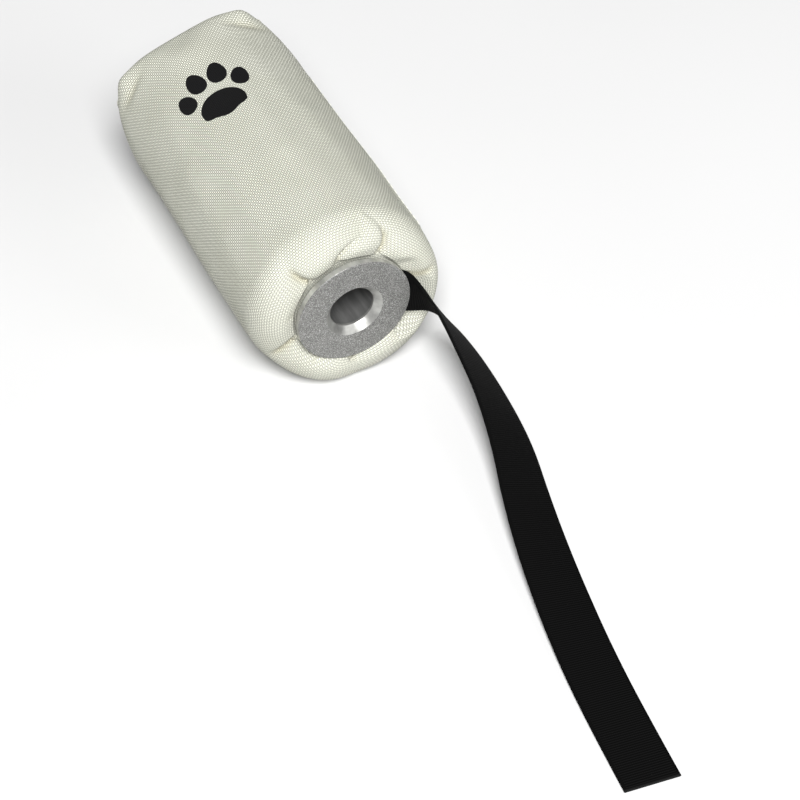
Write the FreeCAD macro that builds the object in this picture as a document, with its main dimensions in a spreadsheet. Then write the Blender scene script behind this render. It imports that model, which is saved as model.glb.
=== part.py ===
import FreeCAD, Part
import math
import os

import Sketcher

# Soft training dummy for a hand launcher, lying on its side.
# The axis runs along +Y: the metal flange ring faces -Y and the sewn end is at +Y.
# The origin is on the ground, below the middle of the length. Sizes are in millimetres.

SIZES = {
    "body_length": 175.4,
    "body_radius": 45.0,
    "ground_flat": 1.2,
    "shoulder_radius": 14.0,
    "rim_bulge": 1.2,
    "rim_radius": 11.0,
    "rim_turn": 308.0,
    "rim_full": 20.0,
    "rim_none": -6.0,
    "rim_taper": 6.0,
    "dip_start": 20.0,
    "dip_slope": 0.15,
    "dip_above": 16.0,
    "dip_below": 20.0,
    "cover_thickness": 0.9,
    "cover_setback": 4.5,
    "square_start": 143.7,
    "square_end": 168.4,
    "square_half_side": 38.9,
    "square_corner_radius": 17.9,
    "square_turn": 17.8,
    "ring_radius": 27.3,
    "ring_thickness": 4.2,
    "ring_face_thickness": 3.2,
    "ring_edge_break": 0.5,
    "countersink_depth": 3.1,
    "countersink_radius": 13.7,
    "bore_radius": 10.6,
    "bore_depth": 128.0,
    "tube_radius": 13.0,
    "socket_radius": 15.8,
    "socket_depth": 11.0,
    "neck_gap": 0.1,
    "neck_radius": 18.2,
    "neck_length": 11.5,
    "tie_thickness": 1.3,
    "tie_width": 4.8,
    "tie_setback": 9.0,
    "tie_lock_length": 8.0,
    "tie_lock_height": 4.0,
    "plug_length": 13.0,
    "plug_radius": 11.6,
    "plug_dish_radius": 10.9,
    "plug_dish_depth": 1.0,
    "plug_head_thickness": 3.0,
    "pin_radius": 2.0,
    "pin_recess": 0.4,
    "washer_radius": 32.0,
    "washer_thickness": 3.0,
    "foam_clearance": 0.1,
    "recess_radius": 23.5,
    "recess_depth": 12.5,
    "seam_width": 9.0,
    "seam_height": 0.7,
    "stitch_radius": 0.35,
    "stitch_length": 2.6,
    "stitch_pitch": 3.8,
    "stitch_row_gap": 5.4,
    "end_seam_width": 3.0,
    "gusset_seam_length": 48.0,
    "gusset_seam_gap": 24.0,
    "strap_width": 24.5,
    "strap_thickness": 1.2,
    "mark_thickness": 0.12,
    "mark_centre": 116.0,
    "mark_turn": 108.0,
}

# Middle line of the webbing streamer: out from under the ring, down past the shoulder, along the ground.
STREAMER_ROUTE = [
    (19.3, -83.25, 45.2),
    (27.9, -83.2, 41.6),
    (35.6, -87.0, 37.6),
    (41.0, -97.9, 29.5),
    (43.7, -114.4, 21.5),
    (43.8, -136.9, 15.0),
    (40.5, -161.4, 9.6),
    (33.5, -186.9, 5.6),
    (26.5, -215.4, 3.5),
    (20.5, -245.4, 2.0),
    (15.5, -275.4, 1.2),
    (11.8, -306.4, 0.8),
    (9.0, -336.9, 0.7),
]

# Direction across the webbing at each of those points, towards the edge that is on top at the ring.
STREAMER_ACROSS = [
    (0.2, 0.0, 0.98),
    (-0.03, 0.0, 1.0),
    (-0.33, -0.13, 0.93),
    (-0.52, -0.2, 0.83),
    (-0.66, -0.17, 0.73),
    (-0.76, -0.09, 0.64),
    (-0.87, 0.0, 0.5),
    (-0.93, 0.09, 0.36),
    (-0.96, 0.13, 0.22),
    (-0.98, 0.14, 0.1),
    (-0.99, 0.13, 0.03),
    (-0.99, 0.12, 0.0),
    (-0.99, 0.12, 0.0),
]

# Pads of the printed paw, four toes and the heel: centre across, centre along, half width, half length.
PAW_PADS = [
    (-14.2, 4.5, 4.3, 6.2),
    (-5.4, 12.0, 4.6, 6.8),
    (5.4, 12.0, 4.6, 6.8),
    (14.2, 4.5, 4.3, 6.2),
    (0.0, -7.5, 11.4, 8.6),
]

# Sections of the squared end: degrees through the turn from round to square, then shares of the
# square's size on the low dome that closes it.
TURN_SECTIONS = (10, 30, 50, 70, 90)
DOME_SECTIONS = (0.8, 0.55, 0.3)

# Share of each run of the streamer's route taken up by the arc at either end, and sections per arc.
ARC_SHARE = 0.45
ARC_STEPS = 4

# How far a cutting shape reaches past what it cuts.
OVERSHOOT = 1.0

doc = FreeCAD.newDocument("LauncherDummy")
sheet = doc.addObject("Spreadsheet::Sheet", "Dims")
for row, (alias, value) in enumerate(SIZES.items(), start=1):
    sheet.set(f"A{row}", alias)
    sheet.set(f"B{row}", str(value))
    sheet.setAlias(f"B{row}", alias)
doc.recompute()


def size(alias):
    """Number in the sheet's cell of that name."""
    return float(sheet.get(alias))


def total(words):
    """Value of a sum of cells, such as 'ring_thickness + socket_depth'."""
    value = 0.0
    sign = 1.0
    for word in words.split():
        if word in ("+", "-"):
            sign = 1.0 if word == "+" else -1.0
        else:
            value += sign * size(word)
    return value


def linked(words):
    """The same sum written as an expression on the sheet."""
    parts = [word if word in ("+", "-") else f"Dims.{word}" for word in words.split()]
    return " ".join(parts)


def place(part):
    """Moves a sub-part from the dummy's own axis, where the ring's face is at 0, to its place."""
    part.setExpression("Placement.Base.y", "-(Dims.body_length - Dims.rim_bulge) / 2")
    part.setExpression("Placement.Base.z", "Dims.body_radius - Dims.ground_flat")


def new_body(label):
    """An empty PartDesign body, in place."""
    body = doc.addObject("PartDesign::Body", label)
    body.Label = label
    place(body)
    return body


def new_feature(label, shape):
    """A sub-part whose shape is worked out below."""
    feature = doc.addObject("Part::Feature", label)
    feature.Label = label
    feature.Shape = shape
    place(feature)
    return feature


def origin_plane(body, role):
    """One of a body's own origin planes."""
    return next(plane for plane in body.Origin.OriginFeatures if plane.Role == role)


def turned(body, name, corners):
    """Turns a closed profile about the axis. Each corner is (radius, distance behind the face) in words."""
    sketch = body.newObject("Sketcher::SketchObject", name + "_profile")
    sketch.AttachmentSupport = [(origin_plane(body, "XY_Plane"), "")]
    sketch.MapMode = "FlatFace"
    points = [FreeCAD.Vector(total(radius), total(along), 0) for radius, along in corners]
    for start, end in zip(points, points[1:] + points[:1]):
        sketch.addGeometry(Part.LineSegment(start, end), False)
    for index, (radius, along) in enumerate(corners):
        previous = (index - 1) % len(corners)
        sketch.addConstraint(Sketcher.Constraint("Coincident", previous, 2, index, 1))
        for kind, words in (("DistanceX", radius), ("DistanceY", along)):
            if not words:
                axis = -2 if kind == "DistanceX" else -1
                sketch.addConstraint(Sketcher.Constraint("PointOnObject", index, 1, axis))
                continue
            number = sketch.addConstraint(Sketcher.Constraint(kind, -1, 1, index, 1, total(words)))
            sketch.setExpression(f"Constraints[{number}]", linked(words))
    feature = body.newObject("PartDesign::Revolution", name)
    feature.Profile = sketch
    feature.ReferenceAxis = (sketch, ["V_Axis"])
    feature.Angle = 360
    doc.recompute()
    return feature


def cross_hole(body, name, along):
    """Drills the retaining pin's hole across the axis, through everything."""
    sketch = body.newObject("Sketcher::SketchObject", name + "_circle")
    sketch.AttachmentSupport = [(origin_plane(body, "YZ_Plane"), "")]
    sketch.MapMode = "FlatFace"
    circle = Part.Circle(FreeCAD.Vector(total(along), 0, 0), FreeCAD.Vector(0, 0, 1), size("pin_radius"))
    sketch.addGeometry(circle, False)
    radius = sketch.addConstraint(Sketcher.Constraint("Radius", 0, size("pin_radius")))
    sketch.setExpression(f"Constraints[{radius}]", "Dims.pin_radius")
    distance = sketch.addConstraint(Sketcher.Constraint("DistanceX", -1, 1, 0, 3, total(along)))
    sketch.setExpression(f"Constraints[{distance}]", linked(along))
    sketch.addConstraint(Sketcher.Constraint("PointOnObject", 0, 3, -1))
    pocket = body.newObject("PartDesign::Pocket", name)
    pocket.Profile = sketch
    pocket.Type = "ThroughAll"
    pocket.Midplane = True
    doc.recompute()
    return pocket


def make_flange_ring():
    """Turned ring with a countersunk bore and, behind it, a socket that takes the sleeve tube."""
    body = new_body("flange_ring")
    turned(body, "flange", [
        ("countersink_radius", ""),
        ("ring_radius - ring_edge_break", ""),
        ("ring_radius", "ring_edge_break"),
        ("ring_radius", "ring_face_thickness - ring_edge_break"),
        ("ring_radius - ring_edge_break", "ring_face_thickness"),
        ("socket_radius", "ring_face_thickness"),
        ("socket_radius", "ring_thickness + socket_depth"),
        ("tube_radius", "ring_thickness + socket_depth"),
        ("tube_radius", "ring_thickness"),
        ("bore_radius", "ring_thickness"),
        ("bore_radius", "countersink_depth"),
    ])
    return body


def make_sleeve_tube():
    """Thin aluminium sleeve that slides on to the launcher's spigot, with a wider seat for its plug."""
    body = new_body("sleeve_tube")
    turned(body, "tube", [
        ("bore_radius", "ring_thickness"),
        ("tube_radius", "ring_thickness"),
        ("tube_radius", "bore_depth + plug_length"),
        ("plug_radius", "bore_depth + plug_length"),
        ("plug_radius", "bore_depth"),
        ("bore_radius", "bore_depth"),
    ])
    cross_hole(body, "pin_hole", "bore_depth + plug_length - plug_head_thickness - pin_radius")
    return body


def make_end_plug():
    """Headed plug with a dished face that closes the sleeve's far end against the launcher's gas."""
    body = new_body("end_plug")
    turned(body, "plug", [
        ("", "bore_depth + plug_dish_depth"),
        ("plug_dish_radius", "bore_depth + plug_dish_depth"),
        ("plug_dish_radius", "bore_depth"),
        ("plug_radius", "bore_depth"),
        ("plug_radius", "bore_depth + plug_length"),
        ("tube_radius", "bore_depth + plug_length"),
        ("tube_radius", "bore_depth + plug_length + plug_head_thickness"),
        ("", "bore_depth + plug_length + plug_head_thickness"),
    ])
    cross_hole(body, "pin_hole", "bore_depth + plug_length - plug_head_thickness - pin_radius")
    return body


def make_plug_pin():
    """Pin through the sleeve and its plug, just short of the sleeve's outside."""
    pin = doc.addObject("Part::Cylinder", "plug_pin")
    pin.Label = "plug_pin"
    pin.setExpression("Radius", "Dims.pin_radius")
    pin.setExpression("Height", "2 * (Dims.tube_radius - Dims.pin_recess)")
    pin.Placement.Rotation = FreeCAD.Rotation(FreeCAD.Vector(0, 1, 0), 90)
    place(pin)
    pin.setExpression("Placement.Base.x", "Dims.pin_recess - Dims.tube_radius")
    pin.setExpression(
        "Placement.Base.y",
        "Dims.bore_depth + Dims.plug_length - Dims.plug_head_thickness - Dims.pin_radius"
        " - (Dims.body_length - Dims.rim_bulge) / 2",
    )
    return pin


def make_thrust_washer():
    """Stiff disc that spreads the plug's push over the foam."""
    body = new_body("thrust_washer")
    front = "bore_depth + plug_length + plug_head_thickness"
    turned(body, "washer", [
        ("", front),
        ("washer_radius", front),
        ("washer_radius", front + " + washer_thickness"),
        ("", front + " + washer_thickness"),
    ])
    return body


def far():
    """A distance from the axis beyond everything on the dummy."""
    return 2 * size("body_radius")


def square_wire(along, half_side, corner_radius):
    """Closed outline of a square with round corners, across the axis at that distance."""
    straight = half_side - corner_radius
    bulge = corner_radius * math.sqrt(0.5)
    edges = []
    for quarter in range(4):
        turn = FreeCAD.Rotation(FreeCAD.Vector(0, -1, 0), size("square_turn") + 90 * quarter)
        before = turn.multVec(FreeCAD.Vector(half_side, along, -straight))
        start = turn.multVec(FreeCAD.Vector(half_side, along, straight))
        middle = turn.multVec(FreeCAD.Vector(straight + bulge, along, straight + bulge))
        end = turn.multVec(FreeCAD.Vector(straight, along, half_side))
        edges.append(Part.LineSegment(before, start).toShape())
        edges.append(Part.Arc(start, middle, end).toShape())
    return Part.Wire(edges)


def squared_end(inset):
    """The far end: the round body turns into a square, then closes in a low dome."""
    radius = size("body_radius") - inset
    half_side = size("square_half_side") - inset
    corner = size("square_corner_radius") - inset
    start = size("square_start")
    depth = size("square_end") - inset - start
    dome = size("body_length") - size("seam_height") - size("square_end")
    wires = []
    for angle in TURN_SECTIONS:
        share = 1 - math.cos(math.radians(angle))
        along = start + depth * math.sin(math.radians(angle)) if wires else start
        side = radius + (half_side - radius) * share
        bend = radius + (corner - radius) * share
        wires.append(square_wire(along, side, bend))
    for scale in DOME_SECTIONS:
        along = start + depth + dome * (1 - scale ** 2) / (1 - DOME_SECTIONS[-1] ** 2)
        wires.append(square_wire(along, half_side * scale, corner * scale))
    return Part.makeLoft(wires, True, True)


def quarter_arc(centre_radius, centre_along, start, end, radius):
    """Arc between two (radius, along) points about a centre, through the point half way round."""
    middle = FreeCAD.Vector(start[0] + end[0] - 2 * centre_radius, start[1] + end[1] - 2 * centre_along, 0)
    middle = FreeCAD.Vector(centre_radius, centre_along, 0) + middle.normalize() * radius
    return Part.Arc(FreeCAD.Vector(*start, 0), middle, FreeCAD.Vector(*end, 0)).toShape()


def line(start, end):
    """Straight edge between two (radius, along) points."""
    return Part.LineSegment(FreeCAD.Vector(*start, 0), FreeCAD.Vector(*end, 0)).toShape()


def revolved(edges):
    """Solid turned about the axis from the edges of a closed outline."""
    return Part.Face(Part.Wire(edges)).revolve(FreeCAD.Vector(0, 0, 0), FreeCAD.Vector(0, 1, 0), 360)


def prism(corners, low, high):
    """Straight prism between two levels from corners given as (across, along)."""
    points = [FreeCAD.Vector(across, along, low) for across, along in corners + corners[:1]]
    return Part.Face(Part.makePolygon(points)).extrude(FreeCAD.Vector(0, 0, high - low))


def round_stretch(inset):
    """The round body from its front face to where the square end begins, with a rounded shoulder."""
    radius = size("body_radius") - inset
    shoulder = size("shoulder_radius") - inset
    front = size("cover_setback") + inset
    end = size("square_start")
    corner = (radius - shoulder, front + shoulder)
    crest = (corner[0], front)
    side = (radius, corner[1])
    corners = [side, (radius, end), (0, end), (0, front), crest]
    edges = [line(before, after) for before, after in zip(corners, corners[1:])]
    edges.append(quarter_arc(*corner, crest, side, shoulder))
    return revolved(edges)


def puffed_rim(inset):
    """Canvas that swells forward round the lower side of the mouth and dies away on the upper side.

    Its outline is a small arc from the mouth to the crest, then a wide one out to the side. The mouth
    of an outer skin starts level with the skin's own front.
    """
    radius = size("body_radius") - inset
    shoulder = size("rim_radius") - inset
    setback = size("cover_setback")
    lip = setback + size("rim_bulge") - inset
    crest_radius = size("body_radius") - size("rim_radius")
    shoulder_along = size("rim_radius") - size("rim_bulge")
    crest = (crest_radius, setback - lip)
    side = (radius, shoulder_along)
    forward = min(inset, 0)
    mouth = (crest_radius - math.sqrt(lip ** 2 - forward ** 2), setback + forward)
    floor = (mouth[0], setback + inset)
    back = size("cover_setback") + 2 * size("shoulder_radius")
    corners = [side, (radius, back), (0, back), (0, floor[1]), floor]
    if inset > 0:
        corners.append(mouth)
    edges = [line(before, after) for before, after in zip(corners, corners[1:])]
    edges.append(quarter_arc(crest_radius, setback, mouth, crest, lip))
    edges.append(quarter_arc(crest_radius, shoulder_along, crest, side, shoulder))
    return revolved(edges).cut(rim_cutter(inset, back))


def rim_cutter(inset, back):
    """Takes the swollen rim away on the upper side, with a slope across the mouth."""
    crest = inset - size("rim_bulge") - OVERSHOOT
    floor = size("cover_setback") + inset
    end = (size("rim_none") - size("rim_taper"), back + OVERSHOOT)
    corners = [
        (far(), -far()),
        (far(), crest),
        (size("rim_full"), crest),
        (size("rim_none"), floor),
        end,
        (-far(), end[1]),
        (-far(), -far()),
    ]
    return at_turn(prism(corners, -far(), far()), size("rim_turn"))


def streamer_dip(inset):
    """What the rim leaves free where the streamer lies across it, on the +X side of the mouth."""
    start = size("dip_start") - inset
    floor = size("cover_setback") + inset
    knee = size("body_radius") - size("rim_radius") - size("cover_setback") - size("rim_bulge")
    rise = size("dip_slope") * (far() - knee)
    corners = [(start, floor), (knee, floor), (far(), floor - rise), (far(), -far()), (start, -far())]
    return prism(corners, -size("dip_below") - inset, size("dip_above") + inset)


def dummy_solid(inset):
    """The whole outer form, pulled in by an inset and flattened where it rests on the ground."""
    front = round_stretch(inset).fuse(puffed_rim(inset)).cut(streamer_dip(inset))
    solid = front.fuse(squared_end(inset))
    level = size("body_radius") - size("ground_flat") - inset
    corners = [(-far(), -far()), (far(), -far()), (far(), 2 * far()), (-far(), 2 * far())]
    return solid.cut(prism(corners, -far(), -level))


def rod(radius, start, end):
    """A plain cylinder on the axis."""
    return Part.makeCylinder(radius, end - start, FreeCAD.Vector(0, start, 0), FreeCAD.Vector(0, 1, 0))


def make_canvas_cover():
    """Canvas bag with its mouth gathered round the flange's socket."""
    front = size("cover_setback")
    neck_end = front + size("neck_length")
    hole = size("socket_radius") + size("neck_gap")
    bag = dummy_solid(0).cut(dummy_solid(size("cover_thickness")))
    neck = rod(size("neck_radius"), front, neck_end)
    shape = bag.fuse(neck).cut(rod(hole, front - OVERSHOOT, neck_end + OVERSHOOT))
    return new_feature("canvas_cover", shape.removeSplitter())


def foam_inset():
    """How far the foam's skin lies inside the dummy's outer form."""
    return size("cover_thickness") + size("foam_clearance")


def foam_split():
    """Distance at which the core ends and the end pad begins."""
    return total("bore_depth + plug_length + plug_head_thickness")


def make_foam_core():
    """Foam cylinder round the sleeve, with a recess at the mouth for the gathered canvas and its tie."""
    keep = rod(far(), -far(), foam_split())
    shape = dummy_solid(foam_inset()).common(keep)
    shape = shape.cut(rod(size("tube_radius") + size("foam_clearance"), 0, foam_split() + OVERSHOOT))
    shape = shape.cut(rod(size("recess_radius"), 0, size("cover_setback") + size("recess_depth")))
    return new_feature("foam_core", shape)


def make_foam_end_pad():
    """Foam pad behind the thrust washer, which sits in a pocket in it."""
    clearance = size("foam_clearance")
    keep = rod(far(), foam_split() + clearance, size("body_length"))
    pocket = rod(size("washer_radius") + clearance, foam_split(), foam_split() + size("washer_thickness"))
    shape = dummy_solid(foam_inset()).common(keep).cut(pocket)
    return new_feature("foam_end_pad", shape)


def make_gather_tie():
    """Flat nylon tie that pulls the canvas tight on the socket, with its lock."""
    inner = size("neck_radius")
    outer = inner + size("tie_thickness")
    start = size("tie_setback")
    end = start + size("tie_width")
    length = size("tie_lock_length")
    height = size("tie_lock_height")
    corner = FreeCAD.Vector(-length / 2, start, -inner - height)
    lock = Part.makeBox(length, size("tie_width"), height, corner)
    shape = rod(outer, start, end).fuse(lock).cut(rod(inner, start - OVERSHOOT, end + OVERSHOOT))
    return new_feature("gather_tie", shape.removeSplitter())


def at_turn(shape, degrees):
    """Turns a shape about the axis, from +X towards +Z."""
    turned_shape = shape.copy()
    turned_shape.rotate(FreeCAD.Vector(0, 0, 0), FreeCAD.Vector(0, -1, 0), degrees)
    return turned_shape


def seam_on_cover(label, windows):
    """Raised seam: the part of a thin skin on the cover that lies inside any of the windows."""
    skin = dummy_solid(-size("seam_height")).cut(dummy_solid(0))
    pieces = [skin.common(at_turn(window, size("square_turn"))) for window in windows]
    solids = [solid for piece in pieces for solid in piece.Solids]
    return new_feature(label, Part.makeCompound(solids) if len(solids) > 1 else solids[0])


def make_side_seam():
    """Lapped seam where the canvas tube is closed lengthwise."""
    width = size("seam_width")
    start = size("cover_setback") + size("shoulder_radius")
    length = size("square_end") - size("end_seam_width") - start
    window = Part.makeBox(far(), length, width, FreeCAD.Vector(0, start, -width / 2))
    return seam_on_cover("side_seam", [window])


def make_end_seam():
    """Seam straight across the far end."""
    width = size("end_seam_width")
    half_length = size("square_half_side") - width
    start = size("square_end") + width / 2
    window = Part.makeBox(2 * half_length, far(), width, FreeCAD.Vector(-half_length, start, -width / 2))
    return seam_on_cover("end_seam", [window])


def make_gusset_seams():
    """Two short seams, one at each end of the end seam, that box the bag's corners into a square."""
    width = size("end_seam_width")
    length = size("gusset_seam_length")
    gap = size("gusset_seam_gap")
    start = size("square_end") - width / 2
    windows = [
        Part.makeBox(far(), width, length, FreeCAD.Vector(low, start, -length / 2))
        for low in (-far() - gap, gap)
    ]
    return seam_on_cover("gusset_seams", windows)


def make_side_seam_stitches():
    """Two rows of stitches along the lapped seam."""
    start = size("cover_setback") + size("shoulder_radius") + size("stitch_pitch")
    end = size("square_start") - size("stitch_pitch")
    half_gap = size("stitch_row_gap") / 2
    height = size("body_radius") + size("seam_height")
    radius = size("stitch_radius")
    lift = math.sqrt(height ** 2 - half_gap ** 2) + radius
    count = int((end - start) / size("stitch_pitch"))
    stitches = []
    for side in (-half_gap, half_gap):
        for index in range(count):
            base = FreeCAD.Vector(lift, start + index * size("stitch_pitch"), side)
            stitch = Part.makeCylinder(radius, size("stitch_length"), base, FreeCAD.Vector(0, 1, 0))
            stitches.append(at_turn(stitch, size("square_turn")))
    return new_feature("side_seam_stitches", Part.makeCompound(stitches))


def make_printed_mark():
    """Plain paw print in ink on top of the cover, near the far end."""
    skin = dummy_solid(-size("mark_thickness")).cut(dummy_solid(0))
    pads = []
    for across, along, half_width, half_length in PAW_PADS:
        widest = max(half_width, half_length)
        narrowest = min(half_width, half_length)
        outline = Part.Wire(Part.Ellipse(FreeCAD.Vector(), widest, narrowest).toShape())
        pad = Part.Face(outline).extrude(FreeCAD.Vector(0, 0, far()))
        pad.rotate(FreeCAD.Vector(), FreeCAD.Vector(0, 0, 1), 90 if half_length > half_width else 0)
        pad.rotate(FreeCAD.Vector(), FreeCAD.Vector(0, 1, 0), 90)
        pad.translate(FreeCAD.Vector(0, size("mark_centre") + along, across))
        pads.extend(skin.common(at_turn(pad, size("mark_turn"))).Solids)
    return new_feature("printed_mark", Part.makeCompound(pads))


def streamer_path():
    """Straight runs joined by tangent arcs. Gives the wire and, for each run and arc, its two ends."""
    points = [FreeCAD.Vector(*point) for point in STREAMER_ROUTE]
    edges = []
    radii = []
    last = points[0]
    for before, corner, after in zip(points, points[1:], points[2:]):
        incoming = (corner - before).normalize()
        outgoing = (after - corner).normalize()
        half_turn = incoming.getAngle(outgoing) / 2
        setback = ARC_SHARE * min((corner - before).Length, (after - corner).Length)
        radii.append(setback / math.tan(half_turn))
        start = corner - incoming * setback
        end = corner + outgoing * setback
        inward = (outgoing - incoming).normalize()
        middle = corner + inward * (radii[-1] / math.cos(half_turn) - radii[-1])
        edges.append(Part.LineSegment(last, start).toShape())
        edges.append(Part.Arc(start, middle, end).toShape())
        last = end
    edges.append(Part.LineSegment(last, points[-1]).toShape())
    print("streamer arc radii, mm:", ", ".join(f"{radius:.0f}" for radius in radii))
    return Part.Wire(edges)


def across_at(position):
    """Direction across the webbing at a place counted in route points, such as 2.5."""
    index = min(int(position), len(STREAMER_ACROSS) - 2)
    before = FreeCAD.Vector(*STREAMER_ACROSS[index])
    after = FreeCAD.Vector(*STREAMER_ACROSS[index + 1])
    return (before + (after - before) * (position - index)).normalize()


def streamer_stations(path):
    """Places along the path where the section is set: (edge, parameter, place counted in route points)."""
    stations = []
    for number, edge in enumerate(path.Edges):
        corner = (number + 1) // 2
        is_arc = number % 2 == 1
        start = corner - ARC_SHARE if is_arc else corner + ARC_SHARE
        if number == 0:
            start = 0
        for step in range(ARC_STEPS if is_arc else 1):
            share = step / ARC_STEPS
            parameter = edge.FirstParameter + (edge.LastParameter - edge.FirstParameter) * share
            stations.append((edge, parameter, start + 2 * ARC_SHARE * share))
    stations.append((path.Edges[-1], path.Edges[-1].LastParameter, len(STREAMER_ROUTE) - 1))
    return stations


def make_streamer_strap():
    """Flat webbing: its section is carried along the path and turned by the directions above."""
    path = streamer_path()
    half_width = size("strap_width") / 2
    half_thickness = size("strap_thickness") / 2
    wires = []
    for edge, parameter, position in streamer_stations(path):
        centre = edge.valueAt(parameter)
        across = across_at(position)
        normal = edge.tangentAt(parameter).cross(across).normalize()
        corners = [
            centre + across * half_width * side + normal * half_thickness * face
            for side, face in ((-1, -1), (1, -1), (1, 1), (-1, 1))
        ]
        wires.append(Part.makePolygon(corners + corners[:1]))
    strap = doc.addObject("Part::Feature", "streamer_strap")
    strap.Label = "streamer_strap"
    strap.Shape = Part.makeLoft(wires, True, True)
    strap.Placement = FreeCAD.Placement()
    expected = path.Length * size("strap_width") * size("strap_thickness")
    print(f"streamer length {path.Length:.0f} mm, volume {strap.Shape.Volume:.0f}, expected {expected:.0f}")
    return strap


def check_and_export(parts):
    """Stops on any failed object or broken shape, then writes each sub-part to its own file."""
    doc.recompute()
    for item in doc.Objects:
        if "Invalid" in item.State or "Error" in item.State:
            raise RuntimeError(f"{item.Name} failed: {item.State}")
    for part in parts:
        if part.Shape.isNull() or not part.Shape.isValid() or part.Shape.Volume <= 0:
            raise RuntimeError(f"{part.Label} has no valid shape")
    os.makedirs("parts", exist_ok=True)
    for part in parts:
        part.Shape.exportStep(os.path.join("parts", part.Label + ".step"))
        box = part.Shape.optimalBoundingBox(False)
        sides = ((box.XMin, box.XMax), (box.YMin, box.YMax), (box.ZMin, box.ZMax))
        spans = ", ".join(f"{low:.1f} to {high:.1f}" for low, high in sides)
        print(f"{part.Label}: solids {len(part.Shape.Solids)}, volume {part.Shape.Volume:.1f}, box {spans}")


check_and_export([
    make_flange_ring(),
    make_sleeve_tube(),
    make_end_plug(),
    make_plug_pin(),
    make_thrust_washer(),
    make_gather_tie(),
    make_foam_core(),
    make_foam_end_pad(),
    make_canvas_cover(),
    make_side_seam(),
    make_side_seam_stitches(),
    make_end_seam(),
    make_gusset_seams(),
    make_printed_mark(),
    make_streamer_strap(),
])
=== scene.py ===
"""Looks of the launcher training dummy: canvas bag, turned ring and sleeve, and webbing streamer."""

import math
from collections import namedtuple

import bmesh
import bpy
import numpy as np
from mathutils import Matrix, Vector
from mathutils.bvhtree import BVHTree


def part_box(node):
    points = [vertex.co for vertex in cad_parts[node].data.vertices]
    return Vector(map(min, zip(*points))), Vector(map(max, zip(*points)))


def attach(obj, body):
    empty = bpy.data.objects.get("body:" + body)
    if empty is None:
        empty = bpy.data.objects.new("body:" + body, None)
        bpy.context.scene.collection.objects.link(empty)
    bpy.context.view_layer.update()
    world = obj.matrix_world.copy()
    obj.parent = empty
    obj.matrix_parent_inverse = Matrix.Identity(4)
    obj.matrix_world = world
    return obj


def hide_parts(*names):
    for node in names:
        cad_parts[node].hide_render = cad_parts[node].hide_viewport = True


MM = 0.001
BODY = "root"

# Middle line of the streamer, in metres, and the direction across it at each point.
STREAMER_ROUTE = [
    (0.0193, -0.08325, 0.0452),
    (0.0279, -0.08320, 0.0416),
    (0.0356, -0.08700, 0.0376),
    (0.0410, -0.09790, 0.0295),
    (0.0437, -0.11440, 0.0215),
    (0.0438, -0.13690, 0.0150),
    (0.0405, -0.16140, 0.0096),
    (0.0335, -0.18690, 0.0056),
    (0.0265, -0.21540, 0.0035),
    (0.0205, -0.24540, 0.0020),
    (0.0155, -0.27540, 0.0012),
    (0.0118, -0.30640, 0.0008),
    (0.0090, -0.33690, 0.0007),
]
STREAMER_ACROSS = [
    (0.2, 0.0, 0.98),
    (-0.03, 0.0, 1.0),
    (-0.33, -0.13, 0.93),
    (-0.52, -0.2, 0.83),
    (-0.66, -0.17, 0.73),
    (-0.76, -0.09, 0.64),
    (-0.87, 0.0, 0.5),
    (-0.93, 0.09, 0.36),
    (-0.96, 0.13, 0.22),
    (-0.98, 0.14, 0.1),
    (-0.99, 0.13, 0.03),
    (-0.99, 0.12, 0.0),
    (-0.99, 0.12, 0.0),
]
STREAMER_WIDTH = 24.5 * MM
STREAMER_THICKNESS = 1.2 * MM

# The cover's own numbers, in millimetres. "Along" is the distance behind the ring's face.
BODY_RADIUS = 45.0
FRONT = 4.5
SHOULDER = 14.0
RIM = 1.4
RIM_RADIUS = 12.0
RIM_SWELLS = (205.0, 258.0)
RIM_SINKS = (360.0, 405.0)
SQUARE_START = 143.7
SQUARE_END = 168.4
HALF_SIDE = 38.9
CORNER_RADIUS = 17.9
SQUARE_TURN = math.radians(17.8)
DOME = 6.3
CLOTH = 0.9
WARP_PITCH = 0.85
WEFT_PITCH = 1.06
FIRST_STITCH = 23.6
STITCH_PITCH = 3.8
STITCH_COUNT = 30
STITCH_ROW = 2.7

# The cover's grid: columns round the axis, rows over each stretch, and the steps of the plainer copies.
COLUMNS = 720
NECK_ROWS = 33
FRONT_ROWS = 62
SIDE_ROWS = 52
END_ROWS = 64
COARSE = 8
INNER = 6
LARGEST_MOVE = 0.5
CLOTH_FRAMES = 20
CLOTH_SETTINGS = {
    "quality": 6, "mass": 0.3, "tension_stiffness": 12, "compression_stiffness": 12, "shear_stiffness": 4,
    "bending_stiffness": 0.3, "use_pressure": True, "uniform_pressure_force": 4.0, "shrink_min": 0.0,
}
FULL_TURN = 2 * math.pi

# Pleats at the mouth: turn about the axis where each leaves the ring, its sweep and its curl in degrees,
# how far out it runs, its depth in millimetres, and which side folds over the other.
Pleat = namedtuple("Pleat", "start sweep curl reach depth side")
PLEATS = [
    Pleat(15.0, -5.0, 0.0, 22.0, 1.5, 1),
    Pleat(61.8, -13.0, 20.0, 17.0, 2.3, 1),
    Pleat(102.0, -2.0, -14.0, 9.0, 0.8, 1),
    Pleat(131.0, 12.5, -12.5, 16.0, 1.5, -1),
    Pleat(168.0, 3.0, 0.0, 6.0, 0.35, 1),
    Pleat(199.5, 12.0, -1.0, 20.0, 1.6, -1),
    Pleat(232.0, -3.0, 0.0, 8.0, 0.4, 1),
    Pleat(267.0, 4.0, 0.0, 9.0, 0.7, -1),
    Pleat(312.0, -4.0, 2.0, 10.0, 0.5, 1),
]
STRONG_PLEATS = [pleat for pleat in PLEATS if pleat.depth > 0.6]
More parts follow.
